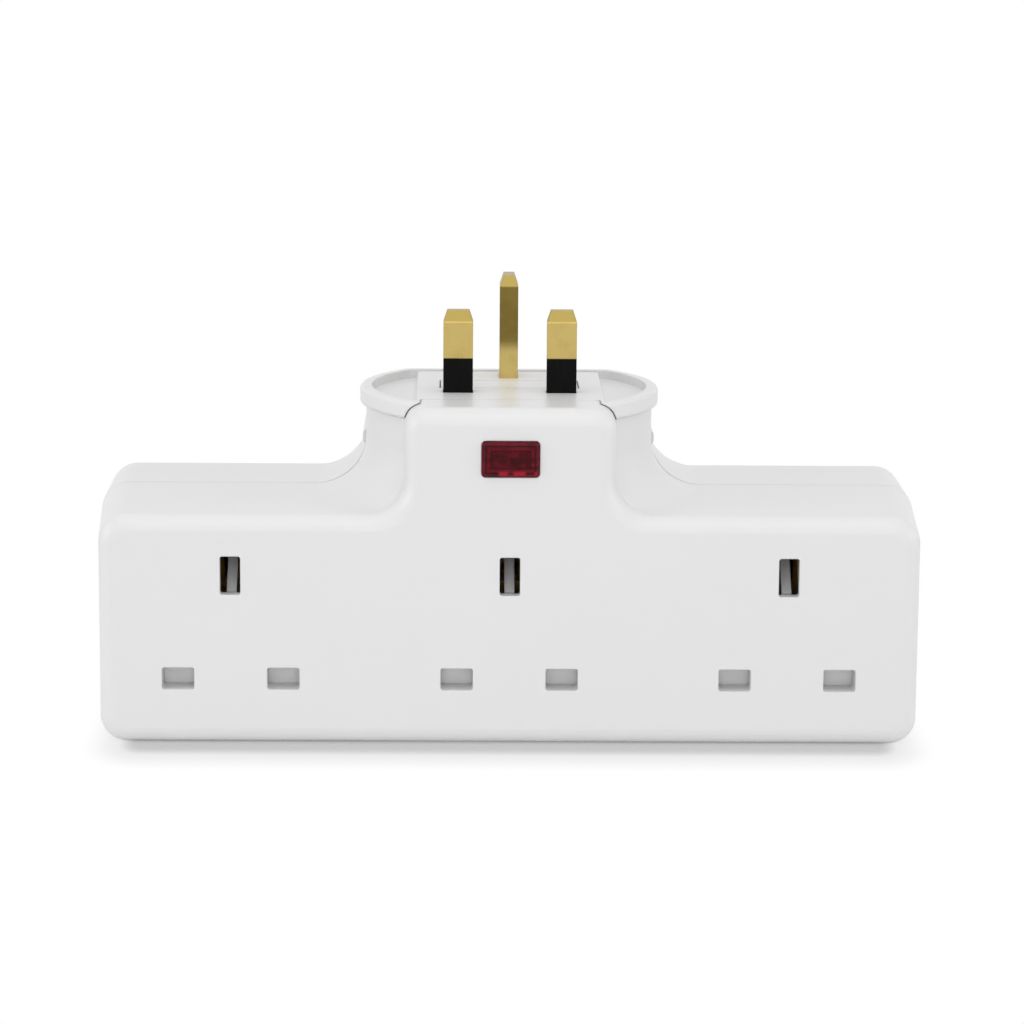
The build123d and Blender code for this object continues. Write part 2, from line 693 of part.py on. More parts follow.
# Earth contact bar: a strip with tabs up to jaws that are open behind for the longer pin
earth_grip = earth_pin_width / 2 - contact_pinch + contact_sheet / 2
earth_tab_width = earth_clip_spread - earth_grip - contact_flare
earth_jaw_top = earth_row_height + earth_clip_reach
with BuildPart() as earth_bar:
    with BuildSketch(upright(carrier_front)):
        with Locations((0, earth_strip_mid)):
            Rectangle(2 * socket_pitch + 2 * earth_clip_spread + bar_end, earth_strip_height)
        for x in socket_centres:
            for side in (-1, 1):
                with Locations((x + side * (earth_clip_spread - earth_tab_width / 2),
                                (earth_strip_mid + earth_jaw_top) / 2)):
                    Rectangle(earth_tab_width, earth_jaw_top - earth_strip_mid)
        with Locations(*[(x, z) for x, z in pegs_at if z == earth_strip_mid]):
            Circle(peg_diameter / 2, mode=Mode.SUBTRACT)
    extrude(amount=contact_sheet)
    for x in socket_centres:
        for side in (-1, 1):
            with BuildSketch(level(earth_row_height - earth_clip_reach)):
                with BuildLine():
                    FilletPolyline((x + side * earth_clip_spread, heel),
                                   (x + side * (earth_grip + contact_flare), heel),
                                   (x + side * earth_grip, throat),
                                   (x + side * (earth_grip + contact_flare), mouth), radius=contact_sheet)
                trace(line_width=contact_sheet)
            extrude(amount=2 * earth_clip_reach)
earth_bar.part.label = "earth_bar"

# Insulating carrier that holds the bars and seats the shutter springs
carrier_bottom = wall + carrier_margin
carrier_top = bar_height - wall - carrier_margin
with BuildPart() as contact_carrier:
    with BuildSketch(upright(carrier_back)):
        with Locations((0, (carrier_bottom + carrier_top) / 2)):
            Rectangle(2 * case_screw_x - boss_diameter - 2 * carrier_margin, carrier_top - carrier_bottom)
        with Locations(*earth_slots):
            Rectangle(earth_slot_width + 2 * collar_wall, earth_slot_height, mode=Mode.SUBTRACT)
        with Locations(*carrier_screws_at):
            Circle(screw_shank / 2 + screw_clearance, mode=Mode.SUBTRACT)
        with Locations((fuse_clip_x, line_strip_height), (neutral_x, neutral_strip_height),
                       (0, earth_strip_mid)):
            Rectangle(strap_width + 2 * joint_gap, contact_sheet + 2 * joint_gap, mode=Mode.SUBTRACT)
    extrude(amount=carrier_thickness)
    with BuildSketch(upright(carrier_front)):
        for x in socket_centres:
            with Locations((x, spring_seat_height - column_height / 2)):
                Rectangle(column_width, column_height)
    extrude(amount=carrier_front - shutter_back - running_gap)
    with BuildSketch(upright(carrier_front)):
        with Locations(*pegs_at):
            Circle(peg_diameter / 2)
    extrude(amount=contact_sheet)
    with BuildSketch(upright(strip_front)):
        with Locations(*pegs_at):
            Circle(peg_head_diameter / 2)
    extrude(amount=peg_head_height)
contact_carrier.part.label = "contact_carrier"

# Shutters, pushed down by an earth pin on the ramp, and their return springs
ramp_front = y_at(shutter_depth - ramp_lead)
ramp_back = ramp_front + shutter_travel
for name, x in (("left", socket_centres[0]), ("middle", socket_centres[1]), ("right", socket_centres[2])):
    with BuildPart() as shutter:
        with BuildSketch(upright(shutter_back)):
            with Locations((x, live_row_height)):
                Rectangle(cover_width, 2 * cover_half_height)
            with Locations((x, (live_row_height + spring_shelf_height + spring_shelf_thickness) / 2)):
                Rectangle(shutter_stem_width, spring_shelf_height + spring_shelf_thickness - live_row_height)
        extrude(amount=shutter_thickness)
        with BuildSketch(level(spring_shelf_height)):
            with Locations((x, y_at((shutter_depth + spring_depth + spring_diameter / 2 + spring_wire) / 2))):
                Rectangle(shelf_width, spring_depth + spring_diameter / 2 + spring_wire - shutter_depth)
        extrude(amount=spring_shelf_thickness)
        with BuildSketch(sideways(x - ramp_width / 2)):
            with BuildLine():
                Polyline((ramp_front, spring_shelf_height), (ramp_front, ramp_foot),
                         (ramp_back, ramp_foot + shutter_travel),
                         (ramp_back + ramp_crest, ramp_foot + shutter_travel),
                         (ramp_back + ramp_crest, spring_shelf_height), close=True)
            make_face()
        extrude(amount=ramp_width)
    shutter.part.label = name + "_shutter"
    pieces.append(shutter.part)
    coil_height = spring_shelf_height - spring_seat_height - spring_wire
    with BuildPart() as spring:
        with BuildLine():
            coil = Helix(coil_height / spring_turns, coil_height, spring_diameter / 2,
                         center=(x, y_at(spring_depth), spring_seat_height + spring_wire / 2))
        with BuildSketch(Plane(coil @ 0, z_dir=coil % 0)):
            Circle(spring_wire / 2)
        sweep(is_frenet=True)
    spring.part.label = name + "_spring"
    pieces.append(spring.part)

# Red window over the neon lamp
with BuildPart() as neon_lens:
    with BuildSketch(upright(front_wall)):
        with Locations((0, lens_centre_height)):
            RectangleRounded(lens_width - joint_gap, lens_height - joint_gap, lens_corner)
    extrude(amount=front_wall + lens_proud)
    chamfer(neon_lens.faces().sort_by(Axis.Y)[0].edges(), length=lens_bevel)
    with BuildSketch(upright(front_wall + lens_flange_thickness)):
        with Locations((0, lens_centre_height)):
            Rectangle(lens_width + 2 * lens_flange, lens_height + 2 * lens_flange)
    extrude(amount=lens_flange_thickness)
    with BuildSketch(upright(front_wall + lens_flange_thickness)):
        with Locations((0, lens_centre_height)):
            Rectangle(lens_width - 2 * lens_skin, lens_height - 2 * lens_skin)
    extrude(amount=front_wall + lens_flange_thickness + lens_proud - lens_skin, mode=Mode.SUBTRACT)
neon_lens.part.label = "neon_lens"

with BuildPart() as neon_lamp:
    with BuildSketch(sideways(-lamp_length / 2)):
        with Locations((y_at(lamp_depth), lens_centre_height)):
            Circle(lamp_diameter / 2)
    extrude(amount=lamp_length)
    fillet(neon_lamp.edges().group_by(Axis.X)[0], radius=lamp_tip)
neon_lamp.part.label = "neon_lamp"

# Lamp leads to the neutral and line links, with the ballast resistor on the neutral one
lead_start = lamp_length / 2
lead_drop = tail_height - strap_bend - lead_spread
neutral_route = [(lead_start, y_at(lamp_depth) - rib, lens_centre_height),
                 (neutral_x, y_at(lamp_depth) - rib, lens_centre_height),
                 (neutral_x, y_at(lamp_depth) - rib, lead_drop),
                 (neutral_x, y_at(live_pin_depth) - contact_sheet / 2, lead_drop)]
line_route = [(lead_start, y_at(lamp_depth) + rib, lens_centre_height),
              (neutral_x + lead_spread, y_at(lamp_depth) + rib, lens_centre_height),
              (neutral_x + lead_spread, y_at(lamp_depth) + rib, lead_drop),
              (neutral_x + lead_spread, y_at(line_link_depth), lead_drop),
              (fuse_clip_x + strap_width / 2, y_at(line_link_depth), lead_drop)]
with BuildPart() as neon_leads:
    for route in (neutral_route, line_route):
        with BuildLine() as lead:
            FilletPolyline(*route, radius=lead_diameter)
        with BuildSketch(Plane(lead.line @ 0, z_dir=lead.line % 0)):
            Circle(lead_diameter / 2)
        sweep(path=lead.line)
neon_leads.part.label = "neon_leads"

with BuildPart() as neon_resistor:
    with BuildSketch(upright((lamp_depth + live_pin_depth + resistor_length) / 2)):
        with Locations((neutral_x, lead_drop)):
            Circle(resistor_diameter / 2)
            Circle(lead_diameter / 2, mode=Mode.SUBTRACT)
    extrude(amount=resistor_length)
neon_resistor.part.label = "neon_resistor"

# Screws
with BuildPart() as case_screws:
    with BuildSketch(upright(case_seat_depth)):
        with Locations(*case_screws_at):
            Circle(screw_shank / 2)
    extrude(amount=screw_length)
    with BuildSketch(upright(case_seat_depth + screw_head_height)):
        with Locations(*case_screws_at):
            Circle(screw_head / 2)
    extrude(amount=screw_head_height)
    with BuildSketch(upright(case_seat_depth + screw_head_height)):
        with Locations(*case_screws_at):
            Rectangle(screw_slot_length, screw_slot)
            Rectangle(screw_slot, screw_slot_length)
    extrude(amount=screw_head_height / 2, mode=Mode.SUBTRACT)
case_screws.part.label = "case_screws"

with BuildPart() as carrier_screws:
    with BuildSketch(upright(carrier_back)):
        with Locations(*carrier_screws_at):
            Circle(screw_shank / 2)
    extrude(amount=carrier_screw_length)
    with BuildSketch(upright(carrier_back + screw_head_height)):
        with Locations(*carrier_screws_at):
            Circle(screw_head / 2)
    extrude(amount=screw_head_height)
carrier_screws.part.label = "carrier_screws"

with BuildPart() as tower_screws:
    with BuildSketch(level(collar_bottom)):
        with Locations(*tower_screws_at):
            Circle(screw_shank / 2)
    extrude(amount=tower_screw_length)
    with BuildSketch(level(collar_bottom)):
        with Locations(*tower_screws_at):
            Circle(screw_head / 2)
    extrude(amount=-screw_head_height)
tower_screws.part.label = "tower_screws"

pieces += [earth_pin.part, fuse_carrier.part, fuse_tube.part, fuse_caps.part, fuse_clips.part]
pieces += [line_strap.part, line_link.part, neutral_link.part, earth_link.part]
pieces += [earth_bar.part, contact_carrier.part]
pieces += [neon_lens.part, neon_lamp.part, neon_leads.part, neon_resistor.part]
pieces += [case_screws.part, carrier_screws.part, tower_screws.part]

os.makedirs("parts", exist_ok=True)
for piece in pieces:
    export_step(piece, f"parts/{piece.label}.step")
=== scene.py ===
import math

import bmesh
import bpy
from mathutils import Matrix, Vector


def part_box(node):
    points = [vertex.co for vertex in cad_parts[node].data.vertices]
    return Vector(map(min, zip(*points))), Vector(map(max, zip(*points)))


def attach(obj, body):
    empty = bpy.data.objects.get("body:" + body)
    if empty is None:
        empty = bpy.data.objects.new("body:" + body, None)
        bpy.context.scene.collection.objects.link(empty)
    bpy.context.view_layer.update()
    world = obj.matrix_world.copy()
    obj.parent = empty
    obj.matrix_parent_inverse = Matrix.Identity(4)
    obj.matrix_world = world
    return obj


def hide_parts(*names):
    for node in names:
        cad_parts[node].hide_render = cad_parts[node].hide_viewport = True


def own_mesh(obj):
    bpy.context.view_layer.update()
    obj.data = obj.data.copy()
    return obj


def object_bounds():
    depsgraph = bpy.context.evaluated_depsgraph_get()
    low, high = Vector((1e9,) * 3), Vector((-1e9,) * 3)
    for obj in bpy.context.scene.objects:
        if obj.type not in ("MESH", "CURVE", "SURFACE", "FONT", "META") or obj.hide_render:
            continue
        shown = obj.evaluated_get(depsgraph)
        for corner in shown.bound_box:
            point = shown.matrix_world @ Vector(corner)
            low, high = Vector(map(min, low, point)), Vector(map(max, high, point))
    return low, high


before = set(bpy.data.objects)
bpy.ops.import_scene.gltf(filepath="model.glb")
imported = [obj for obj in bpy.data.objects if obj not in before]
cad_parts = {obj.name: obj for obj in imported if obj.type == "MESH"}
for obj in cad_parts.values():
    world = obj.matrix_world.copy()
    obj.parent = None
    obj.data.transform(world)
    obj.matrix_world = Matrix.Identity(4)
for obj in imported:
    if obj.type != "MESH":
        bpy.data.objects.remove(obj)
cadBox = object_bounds()
print("frame loaded:", len(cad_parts), "nodes")


class Wire:
    # a socket that can be used in sums; every sum adds its Math node
    def __init__(self, tree, socket):
        self.tree = tree
        self.socket = socket

    def combine(self, operation, first, second=0.0):
        node = self.tree.nodes.new("ShaderNodeMath")
        node.operation = operation
        for slot, value in zip(node.inputs, (first, second)):
            feed(self.tree, slot, value)
        return Wire(self.tree, node.outputs[0])

    def __add__(self, other):
        return self.combine("ADD", self, other)

    def __radd__(self, other):
        return self.combine("ADD", other, self)

    def __sub__(self, other):
        return self.combine("SUBTRACT", self, other)

    def __rsub__(self, other):
        return self.combine("SUBTRACT", other, self)

    def __mul__(self, other):
        return self.combine("MULTIPLY", self, other)

    def __rmul__(self, other):
        return self.combine("MULTIPLY", other, self)

    def __abs__(self):
        return self.combine("ABSOLUTE", self)

    def atLeast(self, other):
        return self.combine("MAXIMUM", self, other)

    def atMost(self, other):
        return self.combine("MINIMUM", self, other)

    def root(self):
        return self.combine("SQRT", self)


def feed(tree, slot, value):
    # a wire is linked, and a number or colour is set on the socket itself
    if isinstance(value, Wire):
        tree.links.new(value.socket, slot)
    else:
        slot.default_value = value


class Shader:
    # one node tree, with a single way to add a node
    def __init__(self, tree):
        self.tree = tree
        tree.nodes.clear()

    def add(self, kind, settings=None, **values):
        node = self.tree.nodes.new(kind)
        for name, value in (settings or {}).items():
            setattr(node, name, value)
        for name, value in values.items():
            byPlace = name[0] == "i" and name[1:].isdigit()  # i0 is the first socket
            slot = node.inputs[int(name[1:]) if byPlace else name.replace("_", " ")]
            feed(self.tree, slot, value)
        return node

    def out(self, kind, settings=None, pick=0, **values):
        return Wire(self.tree, self.add(kind, settings, **values).outputs[pick])

    def place(self, stretch=(1, 1, 1), shift=(0, 0, 0)):
        # object coordinates in metres, stretched for the pattern
        coords = self.out("ShaderNodeTexCoord", pick="Object")
        return self.out("ShaderNodeMapping", Vector=coords, Scale=stretch, Location=shift)

    def axis(self, where, which):
        return self.out("ShaderNodeSeparateXYZ", pick=which, Vector=where)

    def noise(self, where, scale, detail, rough=0.55):
        return self.out("ShaderNodeTexNoise", Vector=where, Scale=scale, Detail=detail, Roughness=rough)

    def ramp(self, value, low, high):
        smooth = {"interpolation_type": "SMOOTHSTEP"}
        return self.out("ShaderNodeMapRange", smooth, Value=value, From_Min=low, From_Max=high)

    def band(self, value, low, high, soft):
        return self.ramp(value, low - soft, low + soft) * (1 - self.ramp(value, high - soft, high + soft))

    def blend(self, factor, first, second):
        return self.out("ShaderNodeMix", {"data_type": "RGBA"}, pick=2, i0=factor, i6=first, i7=second)

    def edges(self, radius, samples=6):
        return self.out("ShaderNodeBevel", {"samples": samples}, Radius=radius)

    def relief(self, height, strength, depth=0.0001, **normal):
        return self.out("ShaderNodeBump", Height=height, Strength=strength, Distance=depth, **normal)

    def surface(self, **values):
        return self.out("ShaderNodeBsdfPrincipled", **values)

    def seen(self):
        # what the camera sees, directly or in metal and glass
        rays = self.add("ShaderNodeLightPath").outputs
        direct, gloss, glass = (
            Wire(self.tree, rays[kind]) for kind in ("Is Camera Ray", "Is Glossy Ray", "Is Transmission Ray")
        )
        return direct + gloss + glass


def rgb(r, g, b):
    return (r, g, b, 1.0)


def finish(name, make):
    material = bpy.data.materials.new(name)
    material.use_nodes = True
    shader = Shader(material.node_tree)
    shader.add("ShaderNodeOutputMaterial", Surface=make(shader))
    return material


def newObject(name, data):
    thing = bpy.data.objects.new(name, data)
    bpy.context.scene.collection.objects.link(thing)
    return thing


def meshObject(name, shape, material):
    mesh = bpy.data.meshes.new(name)
    shape.to_mesh(mesh)
    shape.free()
    mesh.materials.append(material)
    return newObject(name, mesh)


# In the looks below a pattern is its scale and detail, a range is where its ramp starts and ends,
# and the roughness is a base and the share of a pattern that is added to it.

# glossy moulded housing
housingLook = {
    "colour": rgb(0.738, 0.738, 0.742),
    "deep": rgb(0.732, 0.732, 0.736),
    "drift": (18, 2),
    "driftRange": (0.3, 0.7),
    "cloud": (140, 3),
    "peel": (1500, 2),
    "peelStrength": 0.003,
    "softEdge": 0.0004,
    "rough": (0.33, 0.03),
    "specular": 0.4,
}


def housingPlastic(shader):
    look = housingLook
    where = shader.place()
    drift = shader.ramp(shader.noise(where, *look["drift"]), *look["driftRange"])
    cloud = shader.noise(where, *look["cloud"])
    peel = shader.noise(where, *look["peel"])
    base, change = look["rough"]
    return shader.surface(
        Base_Color=shader.blend(drift, look["colour"], look["deep"]),
        Roughness=base + change * cloud,
        Normal=shader.relief(peel, look["peelStrength"], Normal=shader.edges(look["softEdge"])),
        Specular_IOR_Level=look["specular"],
    )


# satin shutters, with fine streaks from sliding
shutterLook = {
    "colour": rgb(0.95, 0.95, 0.945),
    "deep": rgb(0.92, 0.92, 0.915),
    "cloud": (220, 4),
    "cloudRange": (0.35, 0.75),
    "rub": (2400, 2),
    "rubStretch": (1, 1, 0.08),
    "rubStrength": 0.08,
    "softEdge": 0.0003,
    "rough": (0.4, 0.12),
}


def shutterPlastic(shader):
    look = shutterLook
    cloud = shader.ramp(shader.noise(shader.place(), *look["cloud"]), *look["cloudRange"])
    rub = shader.noise(shader.place(look["rubStretch"]), *look["rub"])
    base, change = look["rough"]
    return shader.surface(
        Base_Color=shader.blend(cloud, look["colour"], look["deep"]),
        Roughness=base + change * rub,
        Normal=shader.relief(rub, look["rubStrength"], Normal=shader.edges(look["softEdge"])),
    )


# grey carrier behind the shutters
carrierLook = {
    "colour": rgb(0.30, 0.30, 0.31),
    "deep": rgb(0.23, 0.23, 0.24),
    "cloud": (160, 4),
    "cloudRange": (0.3, 0.7),
    "grain": (2600, 2),
    "grainStrength": 0.15,
    "softEdge": 0.0003,
    "rough": (0.45, 0.1),
}


def carrierPlastic(shader):
    look = carrierLook
    where = shader.place()
    cloud = shader.noise(where, *look["cloud"])
    grain = shader.noise(where, *look["grain"])
    base, change = look["rough"]
    return shader.surface(
        Base_Color=shader.blend(shader.ramp(cloud, *look["cloudRange"]), look["colour"], look["deep"]),
        Roughness=base + change * cloud,
        Normal=shader.relief(grain, look["grainStrength"], Normal=shader.edges(look["softEdge"])),
    )


# black pin sleeves
sleeveLook = {
    "colour": rgb(0.003, 0.003, 0.003),
    "worn": rgb(0.007, 0.007, 0.007),
    "rub": (2600, 3),
    "rubStretch": (1, 1, 0.06),
    "rubRange": (0.5, 0.8),
    "rubStrength": 0.1,
    "cloud": (400, 3),
    "softEdge": 0.0003,
    "rough": (0.45, 0.15),
    "specular": 0.06,
}


def sleevePlastic(shader):
    look = sleeveLook
    rub = shader.noise(shader.place(look["rubStretch"]), *look["rub"])
    cloud = shader.noise(shader.place(), *look["cloud"])
    base, change = look["rough"]
    return shader.surface(
        Base_Color=shader.blend(shader.ramp(rub, *look["rubRange"]), look["colour"], look["worn"]),
        Roughness=base + change * cloud,
        Normal=shader.relief(rub, look["rubStrength"], Normal=shader.edges(look["softEdge"])),
        Specular_IOR_Level=look["specular"],
    )


# polished brass with lengthwise draw lines, duller on the tips; the earth pin carries a painted dark
# reflection above its foot, made patchy by the tarnish pattern
brassLook = {
    "bright": rgb(0.46, 0.35, 0.122),
    "dull": rgb(0.40, 0.30, 0.098),
    "tip": rgb(0.31, 0.232, 0.066),
    # painted dark reflection on the earth pin's face
    "paintedDarkReflection": rgb(0.145, 0.104, 0.025),
    "lines": (3600, 3),
    "lineStretch": (1, 1, 0.02),
    "tarnish": (260, 5),
    "specks": (1800, 2),
    "wornShares": (0.7, 0.3),  # of the tarnish and of the lines
    "wornRange": (0.42, 0.72),
    "paintedDarkReflectionCover": (0.78, 0.35),  # base, and the share of the tarnish
    "speckShare": 0.3,
    "lineStrength": 0.12,
    "softEdge": 0.00025,
    "rough": (0.22, 0.16),
    "metal": 1.0,
}
pinTipsAndPaintedReflection = {"liveTip": 0.0025, "earthTip": 0.0025, "soft": 0.0003, "paintedDarkReflectionTo": 0.0172, "fade": 0.0032}
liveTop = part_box("line_pin")[1][2]
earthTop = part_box("earth_pin")[1][2]


def drawnBrass(shader, tip, paintedReflectionMask=None):
    look = brassLook
    where = shader.place()
    lines = shader.noise(shader.place(look["lineStretch"]), *look["lines"])
    tarnish = shader.noise(where, *look["tarnish"])
    specks = shader.noise(where, *look["specks"])
    tarnishShare, lineShare = look["wornShares"]
    worn = shader.ramp(tarnish * tarnishShare + lines * lineShare, *look["wornRange"])
    colour = shader.blend(worn, look["bright"], look["dull"])
    colour = shader.blend(tip, colour, look["tip"])
    # painted dark reflection above the earth pin's foot, made patchy by the tarnish pattern
    if paintedReflectionMask is not None:
        cover, patchy = look["paintedDarkReflectionCover"]
        colour = shader.blend(paintedReflectionMask * (cover + patchy * tarnish), colour, look["paintedDarkReflection"])
    height = lines + specks * look["speckShare"]
    base, change = look["rough"]
    return shader.surface(
        Base_Color=colour,
        Metallic=look["metal"],
        Roughness=base + change * tarnish,
        Normal=shader.relief(height, look["lineStrength"], Normal=shader.edges(look["softEdge"])),
    )


def pinBrass(shader):
    down = liveTop - shader.axis(shader.place(), 2)
    return drawnBrass(shader, 1 - shader.ramp(down, pinTipsAndPaintedReflection["liveTip"] - pinTipsAndPaintedReflection["soft"], pinTipsAndPaintedReflection["liveTip"]))


def earthBrass(shader):
    down = earthTop - shader.axis(shader.place(), 2)
    shank = shader.ramp(down, pinTipsAndPaintedReflection["earthTip"] - pinTipsAndPaintedReflection["soft"], pinTipsAndPaintedReflection["earthTip"])
    # where the painted dark reflection gives way to bright brass near the foot
    foot = shader.ramp(down, pinTipsAndPaintedReflection["paintedDarkReflectionTo"] - pinTipsAndPaintedReflection["fade"], pinTipsAndPaintedReflection["paintedDarkReflectionTo"])
    return drawnBrass(shader, 1 - shank, shank * (1 - foot))


# rolled brass strip of the contacts and links
stripLook = {
    "bright": rgb(0.70, 0.52, 0.20),
    "dull": rgb(0.46, 0.31, 0.11),
    "lines": (2600, 3),
    "lineStretch": (0.03, 1, 1),
    "lineStrength": 0.15,
    "tarnish": (120, 5),
    "tarnishRange": (0.35, 0.75),
    "softEdge": 0.0002,
    "rough": (0.26, 0.15),
    "metal": 1.0,
}


def stripBrass(shader):
    look = stripLook
    lines = shader.noise(shader.place(look["lineStretch"]), *look["lines"])
    tarnish = shader.ramp(shader.noise(shader.place(), *look["tarnish"]), *look["tarnishRange"])
    base, change = look["rough"]
    return shader.surface(
        Base_Color=shader.blend(tarnish, look["bright"], look["dull"]),
        Metallic=look["metal"],
        Roughness=base + change * lines,
        Normal=shader.relief(lines, look["lineStrength"], Normal=shader.edges(look["softEdge"])),
    )


# red window: nested dark frames, a mottled heart, a painted highlight in streaks on the bevel and painted
# light in bright spots along the lower bevel
lensLook = {
    "dark": rgb(0.046, 0.0035, 0.0055),
    "red": rgb(0.092, 0.005, 0.009),
    "heart": rgb(0.150, 0.005, 0.012),
    # painted highlight colour for the bevel
    "edge": rgb(0.140, 0.006, 0.016),
    "line": rgb(0.020, 0.0030, 0.0035),
    # painted light of the bright spots
    "glow": rgb(0.36, 0.009, 0.024),
    "streak": (1300, 3),
    "streakStretch": (0.3, 0.2, 1),
    "streakRange": (0.32, 0.70),
    "streakStrength": 0.06,
    "mottle": (480, 3),
    "mottleStretch": (1, 0.3, 1),
    "mottleRange": (0.38, 0.64),
    "heartRange": (0.34, 0.60),
    "heartShare": 0.8,
    "softEdge": 0.0002,
    "rough": (0.10, 0.05),
    "specular": 0.09,
}
lensFacets = {
    "window": (0.0123, 0.0078),
    "rim": 0.0019,
    "heart": (0.0023, 0.0037),
    "soft": 0.00018,
    "frames": [(0.00080, 0.00115, 0.75), (0.0019, 0.0022, 0.55)],  # from, to, depth of tone
    # places of the painted light spots along the window
    "paintedLightSpots": [(-0.0025, -0.0006), (0.0006, 0.0031), (0.0050, 0.0055)],
    "spotRise": (0.0005, 0.0014),
    "spotSoft": 0.00035,
}
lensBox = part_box("neon_lens")


def windowRed(shader):
    look = lensLook
    low, high = lensBox
    middle = (Vector(low) + Vector(high)) / 2
    where = shader.place(shift=tuple(-middle))
    along = shader.axis(where, 0)
    height = shader.axis(where, 2)
    halfWide, halfTall = (size / 2 for size in lensFacets["window"])
    inside = (halfWide - abs(along)).atMost(halfTall - abs(height))  # how far inside the window's edge
    rim, soft, spotSoft = (lensFacets[key] for key in ("rim", "soft", "spotSoft"))
    streak = shader.noise(shader.place(look["streakStretch"]), *look["streak"])
    mottle = shader.noise(shader.place(look["mottleStretch"]), *look["mottle"])
    colour = shader.blend(shader.ramp(mottle, *look["mottleRange"]), look["dark"], look["red"])
    heart = shader.ramp(inside, *lensFacets["heart"]) * shader.ramp(mottle, *look["heartRange"])
    colour = shader.blend(look["heartShare"] * heart, colour, look["heart"])
    # painted highlight in streaks on the bevel
    bevel = 1 - shader.ramp(inside, rim - soft, rim + soft)
    colour = shader.blend(bevel * shader.ramp(streak, *look["streakRange"]), colour, look["edge"])
    for start, end, depth in lensFacets["frames"]:
        colour = shader.blend(depth * shader.band(inside, start, end, soft), colour, look["line"])
    # painted light: bright spots along the lower bevel
    paintedLightSpots = sum(shader.band(along, *spot, spotSoft) for spot in lensFacets["paintedLightSpots"])
    paintedLightSpots = paintedLightSpots * shader.band(height + halfTall, *lensFacets["spotRise"], spotSoft)
    base, change = look["rough"]
    return shader.surface(
        Base_Color=shader.blend(paintedLightSpots, colour, look["glow"]),
        Roughness=base + change * streak,
        Normal=shader.relief(streak, look["streakStrength"], Normal=shader.edges(look["softEdge"])),
        Specular_IOR_Level=look["specular"],
    )


# the lamp, the fuse and the other pieces inside the case
glassLook = {
    "colour": rgb(0.86, 0.62, 0.50),
    "deep": rgb(0.80, 0.48, 0.36),
    "cloud": (300, 3),
    "cloudRange": (0.3, 0.7),
    "rough": (0.06, 0.05),
    "clear": 0.7,
    "bending": 1.5,
}


def lampGlass(shader):
    look = glassLook
    cloud = shader.noise(shader.place(), *look["cloud"])
    base, change = look["rough"]
    return shader.surface(
        Base_Color=shader.blend(shader.ramp(cloud, *look["cloudRange"]), look["colour"], look["deep"]),
        Roughness=base + change * cloud,
        Transmission_Weight=look["clear"],
        IOR=look["bending"],
    )


ceramicLook = {
    "colour": rgb(0.66, 0.60, 0.50),
    "deep": rgb(0.54, 0.47, 0.37),
    "cloud": (240, 3),
    "cloudRange": (0.3, 0.7),
    "grain": (1900, 4),
    "grainStrength": 0.2,
    "rough": (0.55, 0.2),
}


def firedCeramic(shader):
    look = ceramicLook
    where = shader.place()
    grain = shader.noise(where, *look["grain"])
    cloud = shader.ramp(shader.noise(where, *look["cloud"]), *look["cloudRange"])
    base, change = look["rough"]
    return shader.surface(
        Base_Color=shader.blend(cloud, look["colour"], look["deep"]),
        Roughness=base + change * grain,
        Normal=shader.relief(grain, look["grainStrength"]),
    )


platedSteelLook = {
    "bright": rgb(0.74, 0.74, 0.72),
    "dull": rgb(0.60, 0.60, 0.59),
    "haze": (500, 4),
    "hazeRange": (0.3, 0.7),
    "softEdge": 0.0002,
    "rough": (0.18, 0.2),
    "metal": 1.0,
}
drawnSteelLook = {
    "bright": rgb(0.56, 0.56, 0.57),
    "dull": rgb(0.38, 0.38, 0.39),
    "haze": (900, 4),
    "hazeRange": (0.35, 0.7),
    "softEdge": 0.00015,
    "rough": (0.28, 0.2),
    "metal": 1.0,
}


def hazySteel(shader, look):
    haze = shader.noise(shader.place(), *look["haze"])
    base, change = look["rough"]
    return shader.surface(
        Base_Color=shader.blend(shader.ramp(haze, *look["hazeRange"]), look["bright"], look["dull"]),
        Metallic=look["metal"],
        Roughness=base + change * haze,
        Normal=shader.edges(look["softEdge"]),
    )


def platedSteel(shader):
    return hazySteel(shader, platedSteelLook)


def drawnSteel(shader):
    return hazySteel(shader, drawnSteelLook)


looks = {
    "housing": finish("housing_plastic", housingPlastic),
    "shutter": finish("shutter_plastic", shutterPlastic),
    "carrier": finish("carrier_plastic", carrierPlastic),
    "sleeve": finish("sleeve_plastic", sleevePlastic),
    "pin": finish("pin_brass", pinBrass),
    "earth": finish("earth_brass", earthBrass),
    "strip": finish("strip_brass", stripBrass),
    "window": finish("window_red", windowRed),
    "glass": finish("lamp_glass", lampGlass),
    "ceramic": finish("fired_ceramic", firedCeramic),
    "plated": finish("plated_steel", platedSteel),
    "steel": finish("drawn_steel", drawnSteel),
}
wearers = {
    "housing": ["front_shell", "rear_shell", "plug_base", "fuse_carrier"],
    "shutter": ["left_shutter", "middle_shutter", "right_shutter"],
    "carrier": ["contact_carrier"],
    "sleeve": ["line_pin_sleeve", "neutral_pin_sleeve"],
    "pin": ["line_pin", "neutral_pin"],
    "earth": ["earth_pin"],
    "strip": [
        "fuse_clips", "line_strap", "line_link", "neutral_link", "earth_link",
        "line_bar", "neutral_bar", "earth_bar",
    ],
    "window": ["neon_lens"],
    "glass": ["neon_lamp"],
    "ceramic": ["fuse_tube", "neon_resistor"],
    "plated": ["fuse_caps", "neon_leads"],
    "steel": [
        "case_screws", "carrier_screws", "tower_screws",
        "left_spring", "middle_spring", "right_spring",
    ],
}
for look, names in wearers.items():
    for name in names:
        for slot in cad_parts[name].material_slots:
            slot.material = looks[look]
print("finishes on", sum(len(names) for names in wearers.values()), "nodes")

